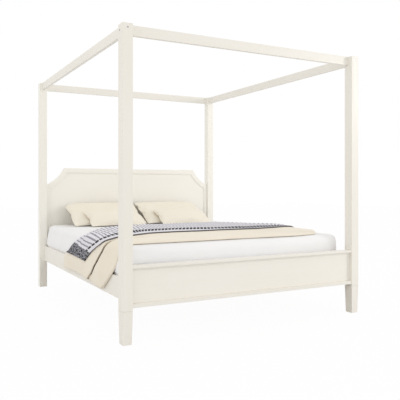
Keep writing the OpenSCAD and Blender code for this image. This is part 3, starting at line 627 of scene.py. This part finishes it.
# the edges and the crease of the duvet: (run from the centre line, Y)
footEdge = [(0, duvetSet["footY"] + 0.006), (0.5, duvetSet["footY"] + 0.002),
            (0.85, duvetSet["footY"] + 0.004), (runAtZ(0.62), -0.950), (1.000, -0.930), (1.036, -0.905),
            (1.071, -0.890), (1.105, -0.872), (1.143, -0.845), (1.171, -0.810), (1.208, -0.755),
            (hemRun, -0.660)]
footEdgeRight = footEdge[:2] + [(0.69, -0.942), (0.75, -0.925), (0.82, -0.860), (0.90, -0.760),
                                (0.95, -0.680), (runAtZ(0.60), -0.620), (runAtZ(0.50), -0.580),
                                (hemRun, -0.500)]
creaseLine = [(0.46, -0.615), (0.568, -0.627), (0.67, -0.659), (0.775, -0.689), (0.86, -0.705),
              (0.922, -0.718), (0.948, -0.722), (0.966, -0.702), (0.978, -0.681), (0.995, -0.653),
              (1.013, -0.635), (1.040, -0.612), (1.074, -0.580), (1.133, -0.535), (1.203, -0.455),
              (1.245, -0.405), (hemRun, -0.375)]
headEdge = [(0, duvetSet["headY"]), (0.45, duvetSet["headY"] - 0.004), (0.60, 0.150), (0.72, 0.050),
            (0.811, -0.070), (0.90, -0.200), (0.945, -0.250), (runAtZ(0.60), -0.220),
            (runAtZ(0.545), -0.120), (runAtZ(0.50), 0.020), (runAtZ(0.46), 0.150),
            (runAtZ(0.42), 0.258), (hemRun, 0.284)]
# the lip that folds over at the crease: (Y from the crease, move along the bed or outwards)
creaseAlong = [(-0.09, 0.0), (-0.045, 0.002), (-0.022, 0.008), (-0.012, 0.008), (-0.006, 0.012),
               (0.002, 0.020), (0.008, 0.012), (0.014, -0.004), (0.020, -0.012), (0.030, -0.010),
               (0.050, 0.0), (0.2, 0.0)]
creaseOut = [(-0.16, 0.0), (-0.030, 0.0), (-0.012, -0.003), (-0.005, -0.010), (0.001, -0.015),
             (0.005, -0.011), (0.008, -0.002), (0.014, 0.005), (0.026, 0.010), (0.050, 0.009),
             (0.10, 0.004), (0.17, 0.0), (0.2, 0.0)]


def creaseShape(side, run, y):
    # how far the duvet moves outwards, and how far along the bed, at its crease
    if side > 0:
        return 0.0, 0.0
    strength = 0.22 * smooth((run - 0.46) / 0.12) + 0.78 * smooth((run - 0.93) / 0.07)
    gap = y - along(creaseLine, run)
    return strength * along(creaseOut, gap), strength * along(creaseAlong, gap)


def coverLift(side, run, y):
    # thickness of the duvet, with its soft swells and folds
    onSide = smooth((run - shoulderRun) / 0.10)
    thicker = duvetSet["thickHead"] - duvetSet["thickFoot"]
    flat = duvetSet["thickFoot"] + thicker * smooth((y + 0.95) / 0.75)
    lift = flat + (duvetSet["thickSide"] - flat) * onSide
    hang = smooth((run - runAtZ(0.60)) / 0.25)
    lift += 0.0035 * noise.noise(Vector((side * run * 3.1, y * 3.4, 2.0)))
    lift += 0.0016 * noise.noise(Vector((side * run * 9, y * 8, 7.0)))
    wave = 0.5 + 0.5 * math.sin(y * 15.5 + 0.9 * side + 2.2 * noise.noise(Vector((y * 2, run * 1.5, side))))
    lift += hang * 0.010 * wave
    return max(lift + creaseShape(side, run, y)[0], 0.0025)


def coverPoint(side, run, y, lift):
    x, z, outX, outZ = pathAt(run)
    return Vector((side * (x + outX * lift), y, z + outZ * lift))


def gridPiece(name, outer, inner, uv, columns, rows):
    # a closed padded shell from an outer and an inner grid that meet round their rim
    vertices = [outer[i][j] for i in range(columns) for j in range(rows)]
    number = {}
    for i in range(columns):
        for j in range(rows):
            if i in (0, columns - 1) or j in (0, rows - 1):
                number[i, j] = i * rows + j
            else:
                number[i, j] = len(vertices)
                vertices.append(inner[i][j])
    faces, coordinates = [], []
    for i in range(columns - 1):
        for j in range(rows - 1):
            a, b, c, d = (i, j), (i + 1, j), (i + 1, j + 1), (i, j + 1)
            faces.append([p[0] * rows + p[1] for p in (a, b, c, d)])
            coordinates.append([uv[p[0]][p[1]] for p in (a, b, c, d)])
            faces.append([number[p] for p in (a, d, c, b)])
            coordinates.append([uv[p[0]][p[1]] for p in (a, d, c, b)])
    mesh = bpy.data.meshes.new(name)
    mesh.from_pydata(vertices, [], faces)
    layer = mesh.uv_layers.new(name="cloth")
    for face, corners in zip(mesh.polygons, coordinates):
        for loop, corner in zip(face.loop_indices, corners):
            layer.data[loop].uv = corner
    mesh.update()
    piece = bpy.data.objects.new(name, mesh)
    scene.collection.objects.link(piece)
    pick(piece)
    bpy.ops.object.shade_smooth()
    return piece


def runsAcross(end):
    # every column from the left hem to the right one: (side, run)
    sideSteps = int((end - shoulderRun + 0.03) / duvetSet["stepSide"])
    half = list(np.arange(0, shoulderRun - 0.03, duvetSet["stepTop"]))
    half += list(np.linspace(shoulderRun - 0.03, end, sideSteps))
    return [(-1, run) for run in reversed(half[1:])] + [(1, run) for run in half]


def rimRound(gap, radius):
    # a quarter circle, from 0 at the rim to 1 at the radius
    gap = min(max(gap, 0), radius)
    return math.sqrt(max(1 - (1 - gap / radius) ** 2, 0))


def crowd(t):
    # rows crowd together at both ends of a stretch
    return t - 0.13 * math.sin(2 * math.pi * t)


# the crease line also places the painted shade in the duvet cloth's colour
duvetCotton = cotton("creamDuvetCotton", linear(240, 232, 217), linear(236, 226, 209), 0.16, creaseLine)


def duvetPiece():
    runs = runsAcross(hemRun)
    rows = duvetSet["rows"]
    creaseRow = int(rows * 0.36)
    outer, inner, uv = [], [], []
    for side, run in runs:
        foot, crease, head = (along(line, run) for line in (footEdge, creaseLine, headEdge))
        if side > 0:  # the right corner is drawn back and has no crease
            foot = along(footEdgeRight, run)
            crease = foot + 0.36 * (head - foot)
        foot += 0.004 * noise.noise(Vector((side * run * 5, 1, 1)))
        head += 0.012 * noise.noise(Vector((side * run * 2.5, 3, 1)))
        outerRow, innerRow, uvRow = [], [], []
        for j in range(rows):
            if j <= creaseRow:
                y = foot + (crease - foot) * crowd(j / creaseRow)
            else:
                y = crease + (head - crease) * crowd((j - creaseRow) / (rows - 1 - creaseRow))
            lift = coverLift(side, run, y)
            rim = rimRound(min(y - foot, head - y, hemRun - run), duvetSet["round"])
            middle = lift * 0.35
            topLift = middle + (lift - middle) * rim
            lowLift = middle * (1 - rim)
            lean = creaseShape(side, run, y)[1]
            # the hanging corner at the foot dips lower than the rest of the hem
            low = run + 0.024 * smooth((run - hemRun + 0.22) / 0.22) * smooth((-y - 0.30) / 0.32)
            outerRow.append(coverPoint(side, low, y + lean, topLift))
            innerRow.append(coverPoint(side, low, y, lowLift))
            uvRow.append((side * run, y))
        outer.append(outerRow)
        inner.append(innerRow)
        uv.append(uvRow)
    piece = gridPiece("duvet_cover", outer, inner, uv, len(runs), rows)
    dress(piece, duvetCotton)
    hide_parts("duvet")
    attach(piece, "bed")


duvetPiece()
print("duvet made")


# the woven throw
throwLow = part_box("throw")[0]
throwHemRun = runAtZ(throwLow.z - 0.014)
throwSet = {
    "length": 2 * throwHemRun,
    "thick": 0.0085,
    "gap": 0.0012,        # between the duvet and the throw
    "rows": 92,
    "flatWidth": 1.0,
    "stripe": 0.033,      # from one stripe to the next
}
throwLook = {
    "pale": linear(233, 231, 236),
    "thread": linear(214, 213, 219),
    "stripe": linear(134, 133, 144),
    "dash": linear(30, 29, 34),
    # hem: the colour of the dark band at the foot edge, which is partly the throw's own hem and partly
    # painted shadow
    "hem": linear(70, 67, 70),
    "tweedDark": linear(24, 23, 28),
    "tweedPale": linear(178, 177, 184),
}
# the edges at the foot and at the head: (run from the centre line, Y)
throwFoot = [(0, throwLow.y + 0.004), (0.30, throwLow.y + 0.002), (0.55, throwLow.y - 0.020),
             (0.71, throwLow.y - 0.090), (0.864, -0.660), (0.93, -0.705), (0.950, -0.705),
             (0.970, -0.650), (0.985, -0.600), (1.027, -0.480), (1.065, -0.405), (1.097, -0.360),
             (throwHemRun, -0.318)]
throwFootRight = throwFoot[:2] + [(0.60, -0.500), (0.72, -0.485), (0.85, -0.455), (0.93, -0.440),
                                  (0.965, -0.435), (runAtZ(0.60), -0.420), (runAtZ(0.49), -0.372),
                                  (throwHemRun, -0.330)]
throwHead = [(0, 0.455), (0.36, 0.455), (0.48, 0.448), (0.56, 0.410), (0.636, 0.320), (0.72, 0.215),
             (0.811, 0.080), (0.90, -0.070), (0.945, -0.140), (runAtZ(0.60), -0.060),
             (runAtZ(0.545), 0.085), (runAtZ(0.50), 0.165), (throwHemRun, 0.225)]
# how many stripes lie between the left end and a point, along the dashes and further up: (U, count)
stripesLow = [(0, -3), (0.093, 0), (0.126, 1), (0.155, 2), (0.175, 3), (0.189, 4), (0.201, 5),
              (0.218, 6), (0.254, 7), (0.301, 8), (0.514, 13.6), (0.684, 18.6)]
stripesHigh = [(0, -2), (0.080, 0), (0.104, 1), (0.133, 2), (0.154, 3), (0.178, 4), (0.205, 5),
               (0.235, 6), (0.300, 7), (0.385, 8), (0.460, 9), (0.700, 12.1)]
for stripes in (stripesLow, stripesHigh):  # evenly spaced from there to the right end
    lastU, lastCount = stripes[-1]
    spare = throwSet["length"] - lastU
    stripes.append((throwSet["length"], lastCount + spare / throwSet["stripe"]))
# the middle of the row of dashes: (U, V)
dashMiddle = [(0.093, 0.148), (0.13, 0.158), (0.155, 0.165), (0.25, 0.165), (0.49, 0.168),
              (0.67, 0.178), (0.90, 0.180), (1.136, 0.150), (1.512, 0.100)]


def stripeAway(count):
    # how far a point is from the middle of its stripe, 0 to 0.5
    return abs((count + 20.5) % 1 - 0.5)


def wovenThrow(name):
    # UV in metres: U from the left end, V from the edge at the foot
    finish = Finish(name)
    flat = finish.flat()
    u, v = finish.axes(flat)
    wobble = (finish.cloud(flat, 30, 3) * 0.003 - 0.0015) / throwSet["stripe"]
    up = finish.spread(v, 0.14, 0.95, 0, 1)
    count = finish.track(u, stripesLow) * (1 - up) + finish.track(u, stripesHigh) * up
    thin = finish.spread(stripeAway(count + wobble), 0.10, 0.21, 1, 0)
    inward = v - finish.track(u, dashMiddle)
    wide = finish.spread(u, 0.15, 0.45, 0.036, 0.080)
    leaning = u - inward * finish.spread(u, 0.30, 0.60, 0, 0.54)  # the dashes lean on the bed's top
    thick = finish.spread(stripeAway(finish.track(leaning, stripesLow) + wobble), 0.36, 0.41, 1, 0)
    dashRow = finish.spread(abs(inward) - wide, -0.003, 0.003, 1, 0)
    body = finish.spread(inward - wide, 0.010, 0.018, 0, 1)
    # the dark band along the foot edge: partly the throw's own dark hem, partly painted shadow at the
    # edge's base
    hemBandAndShadow = finish.spread(v, 0.006, 0.010, 1, 0)
    threads = finish.cloud(finish.scaled(flat, (1, 0.15, 1)), 700, 2)
    cloth = finish.mix(finish.spread(threads, 0.3, 0.7, 0, 0.5), throwLook["pale"], throwLook["thread"])
    cloth = finish.mix(thin * body * 0.9, cloth, throwLook["stripe"])
    cloth = finish.mix(thick * dashRow * 0.97, cloth, throwLook["dash"])
    cloth = finish.mix(hemBandAndShadow * 0.9, cloth, throwLook["hem"])
    # the dark tweed panels at both ends
    speck = finish.cloud(flat, 48, 1, 0.6)
    fleck = finish.cloud(finish.scaled(flat, (1, 1.8, 1)), 260, 2, 0.7)
    mottle = finish.spread(speck * 0.8 + fleck * 0.2, 0.48, 0.56, 0, 1)
    tweed = finish.mix(mottle, throwLook["tweedDark"], throwLook["tweedPale"])
    endLeft = finish.spread(u + v * 0.018, 0.094, 0.100, 1, 0)
    endRight = finish.spread(u, throwSet["length"] - 0.084, throwSet["length"] - 0.078, 0, 1)
    cloth = finish.mix(endLeft + endRight, cloth, tweed)
    relief = finish.bump(weave(finish, flat, 0.0035) + speck * 0.4, 0.5, 0.0016)
    relief = finish.bump(thick, 0.25, 0.0012, relief)
    rough = finish.spread(threads, 0.3, 0.7, 0.85, 0.97)
    return finish.shell(Base_Color=cloth, Roughness=rough, Normal=relief, Sheen_Weight=0.02,
                        Sheen_Roughness=0.6, Specular_IOR_Level=0.15)


def throwPiece():
    runs = runsAcross(throwHemRun)
    rows = throwSet["rows"]
    outer, inner, uv = [], [], []
    for side, mark in runs:
        outerRow, innerRow, uvRow = [], [], []
        for j in range(rows):
            t = j / (rows - 1)
            # the throw turns towards the head as it hangs, so its foot side runs ahead
            ahead = 0.040 * smooth((mark - 0.78) / 0.16)
            ahead += 0.018 * smooth((mark - throwHemRun + 0.20) / 0.10)
            ahead *= 1 - 0.75 * smooth((mark - throwHemRun + 0.10) / 0.10)
            run = mark + ahead * (0.5 - t)
            foot, head = along(throwFootRight if side > 0 else throwFoot, run), along(throwHead, run)
            foot += 0.003 * noise.noise(Vector((side * run * 14, 5, 1)))
            head += 0.004 * noise.noise(Vector((side * run * 11, 8, 1)))
            width = head - foot
            y = foot + width * t
            # beyond the duvet's head edge the throw steps down onto the sheet
            edge = along(headEdge, run)
            onDuvet = 1 - smooth((y - edge + 0.01) / 0.08)
            rest = coverLift(side, run, min(y, edge - 0.015)) * onDuvet + 0.001
            squeeze = 1 - width / throwSet["flatWidth"]
            gather = 0.5 + 0.5 * math.sin(t * 38 + 1.3 * math.sin(run * 9) + side)
            lift = rest + throwSet["gap"] + squeeze * 0.008 * gather * smooth((t - 0.12) / 0.3)
            lift += 0.0014 * (0.5 + 0.5 * noise.noise(Vector((side * run * 12, y * 10, 3))))
            rim = rimRound(min(y - foot, head - y, throwHemRun - mark), 0.004)
            outerRow.append(coverPoint(side, run, y, lift + throwSet["thick"] * (0.4 + 0.6 * rim)))
            innerRow.append(coverPoint(side, run, y, lift + throwSet["thick"] * 0.4 * (1 - rim)))
            flatV = max(width, throwSet["flatWidth"]) * t ** (1 + 0.2 * max(squeeze, 0))
            uvRow.append((throwHemRun + side * mark, flatV))
        outer.append(outerRow)
        inner.append(innerRow)
        uv.append(uvRow)
    piece = gridPiece("woven_throw", outer, inner, uv, len(runs), rows)
    dress(piece, wovenThrow("stripedThrowCloth"))
    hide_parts("throw")
    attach(piece, "bed")
    return piece


throw = throwPiece()
print("throw made")


# the pillows
pillowSet = {
    "columns": 64,
    "rows": 46,
    "start": 0.004,       # thickness before it is blown up
    "frames": 24,
}
pillowCloth = {
    "quality": 6,
    "mass": 0.25,
    "use_pressure": True,
    "uniform_pressure_force": 2.2,
    "tension_stiffness": 25,
    "compression_stiffness": 18,
    "shear_stiffness": 8,
    "bending_stiffness": 0.35,
    "air_damping": 4,
}


def pillowMaster(name, width, depth, seed):
    # two cloth panels sewn round their edge and blown up
    deselectAll()
    bpy.ops.mesh.primitive_grid_add(x_subdivisions=pillowSet["columns"], y_subdivisions=pillowSet["rows"],
                                    size=1)
    piece = bpy.context.object
    piece.name = name
    piece.scale = (width, depth, 1)
    bpy.ops.object.transform_apply(location=False, rotation=False, scale=True)
    layer = piece.data.uv_layers.active
    layer.name = "cloth"
    for loop in piece.data.loops:
        at = piece.data.vertices[loop.vertex_index].co
        layer.data[loop.index].uv = (at.x, at.y)
    for vertex in piece.data.vertices:
        at = vertex.co
        at.z = 0.004 * noise.noise(Vector((at.x * 7 + seed, at.y * 7, seed)))
    applyModifier(piece, "SOLIDIFY", thickness=pillowSet["start"], offset=0)
    pick(piece)
    cloth = piece.modifiers.new("cloth", "CLOTH")
    for key, value in pillowCloth.items():
        setattr(cloth.settings, key, value)
    cloth.settings.effector_weights.gravity = 0
    cloth.collision_settings.use_collision = False
    for step in range(1, pillowSet["frames"] + 1):
        scene.frame_set(step)
    bpy.ops.object.modifier_apply(modifier=cloth.name)
    scene.frame_set(1)
    return piece


backPillow = {
    "up": 0.042,          # how far it swells above its seam, and below
    "down": 0.045,
    "tilt": 28.7,         # degrees, its upper edge raised
    "lift": 0.004,        # how far the seam lifts between the two corners that lie on the sheet
    "fuller": 0.075,      # how far its drawn-in ends fill out again
}
backLeft = {**backPillow, "size": (0.775, 0.450), "shift": 0.029, "droop": (0.070, 0.012)}
backRight = {**backPillow, "size": (0.745, 0.450), "shift": -0.008, "droop": (0.030, 0.045)}
frontPillow = {
    "size": (0.575, 0.298),
    "up": 0.054,
    "down": 0.015,
    "tilt": 28.2,
    "lift": 0.0,
    "fuller": 0.05,
    "shift": 0.0,         # along the bed's width
    "droop": (0.016, 0.016),  # how far the upper corners sag, left and right
}


def placePillow(master, name, node, flip, look):
    # scales the blown pillow to its own size, leans it in its place and lets it rest on the sheet
    low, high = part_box(node)
    piece = bpy.data.objects.new(name, master.data.copy())
    scene.collection.objects.link(piece)
    width, depth = look["size"]
    places = np.array([v.co for v in piece.data.vertices])
    least, most = places.min(0), places.max(0)
    places -= (least + most) / 2
    places *= [flip * width / (most[0] - least[0]), depth / (most[1] - least[1]), 1]
    tall = (most[2] - least[2]) / 2
    places[:, 2] *= np.where(places[:, 2] > 0, look["up"] / tall, look["down"] / tall)
    far = abs(2 * places[:, 0] / width)
    top = np.clip(2 * places[:, 1] / depth, 0, 1)
    ends = np.where(places[:, 0] * low.x > 0, look["fuller"], look["fuller"] / 2)  # most at the bed's side
    places[:, 0] *= 1 + ends * (1 - np.minimum(abs(2 * places[:, 1] / depth), 1) ** 3)
    places[:, 1] -= np.where(places[:, 0] < 0, *look["droop"]) * far ** 5 * top ** 2
    tilt = math.radians(look["tilt"])
    lean = Matrix.Rotation(tilt, 4, "X")
    middle = Vector(((low.x + high.x) / 2 + look["shift"], low.y + depth / 2 * math.cos(tilt) + 0.004,
                     topZ + depth / 2 * math.sin(tilt) + 0.006))
    for vertex, place in zip(piece.data.vertices, places):
        vertex.co = Matrix.Translation(middle) @ lean @ Vector(place)
        rest = topZ + 0.0018 + mattressSet["crown"]
        rest += look["lift"] * (1 - abs(2 * place[0] / width) ** 3)
        if vertex.co.z < rest + 0.012:  # flattened where it lies on the sheet
            vertex.co.z = rest + 0.012 * math.exp((vertex.co.z - rest - 0.012) / 0.012)
    pick(piece)
    bpy.ops.object.mode_set(mode="EDIT")
    bpy.ops.mesh.select_all(action="SELECT")
    bpy.ops.mesh.normals_make_consistent(inside=False)
    bpy.ops.object.mode_set(mode="OBJECT")
    applyModifier(piece, "SUBSURF", levels=1, render_levels=1)
    pick(piece)
    bpy.ops.object.shade_smooth()
    dress(piece, pillowCotton)
    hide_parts(node)
    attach(piece, "bed")


backMaster = pillowMaster("backMaster", 0.72, 0.50, 3.0)
frontMaster = pillowMaster("frontMaster", 0.61, 0.44, 11.0)
for side, flip, backLook in (("left", 1, backLeft), ("right", -1, backRight)):
    placePillow(backMaster, "back_pillow_" + side, "pillow_back_" + side, flip, backLook)
    placePillow(frontMaster, "front_pillow_" + side, "pillow_front_" + side, -flip, frontPillow)
for master in (backMaster, frontMaster):
    bpy.data.objects.remove(master)
print("pillows made")


def backgroundShare(finish):
    # 1 for rays that show the white background: straight, mirrored or through glass
    straight, mirrored, through = (finish.node("ShaderNodeLightPath", output="Is " + kind + " Ray")
                                   for kind in ("Camera", "Glossy", "Transmission"))
    return straight.most(mirrored).most(through)


def floorMaterial():
    # a pale floor that looks white and keeps the bed's soft shadow
    finish = Finish("paleFloor")
    matt = finish.node("ShaderNodeBsdfDiffuse", {}, {"Color": (0.80, 0.80, 0.80)})
    white = finish.node("ShaderNodeEmission", {}, {"Color": (1.0, 1.0, 1.0), "Strength": 1.0})
    surface = finish.node("ShaderNodeMixShader", {}, {0: backgroundShare(finish) * 0.97, 1: matt, 2: white})
    finish.node("ShaderNodeOutputMaterial", {}, {"Surface": surface})
    return finish.material


deselectAll()
bpy.ops.mesh.primitive_plane_add(size=40, location=(0, 0, -0.0005))
floor = bpy.context.object
floor.name = "floor"
dress(floor, floorMaterial())

# the studio's light is a shade warmer and weaker than the white background
scene.world = bpy.data.worlds.new("studio")
studio = Finish("studio", scene.world)
light = studio.node("ShaderNodeBackground", {}, {"Color": (1.0, 0.995, 0.985), "Strength": 0.93})
white = studio.node("ShaderNodeBackground", {}, {"Color": (1.0, 1.0, 1.0), "Strength": 1.0})
around = studio.node("ShaderNodeMixShader", {}, {0: backgroundShare(studio), 1: light, 2: white})
studio.node("ShaderNodeOutputWorld", {}, {"Surface": around})

lampColour = (1, 0.985, 0.96)
lamps = {
    "keyLamp": {"place": (7.0, -6.0, 3.0), "aim": (0.2, -0.6, 0.9), "size": 2.2, "power": 140},
    "fillLamp": {"place": (-9.0, -3.5, 3.5), "aim": (-0.2, 0.2, 0.6), "size": 4.0, "power": 65},
}
for name, look in lamps.items():
    lampData = bpy.data.lights.new(name, "AREA")
    lampData.shape = "SQUARE"
    lampData.size = look["size"]
    lampData.energy = look["power"]
    lampData.color = lampColour
    lamp = bpy.data.objects.new(name, lampData)
    lamp.location = look["place"]
    aim = Vector(look["aim"]) - Vector(look["place"])
    lamp.rotation_euler = aim.to_track_quat("-Z", "Y").to_euler()
    scene.collection.objects.link(lamp)
print("floor and lights placed")
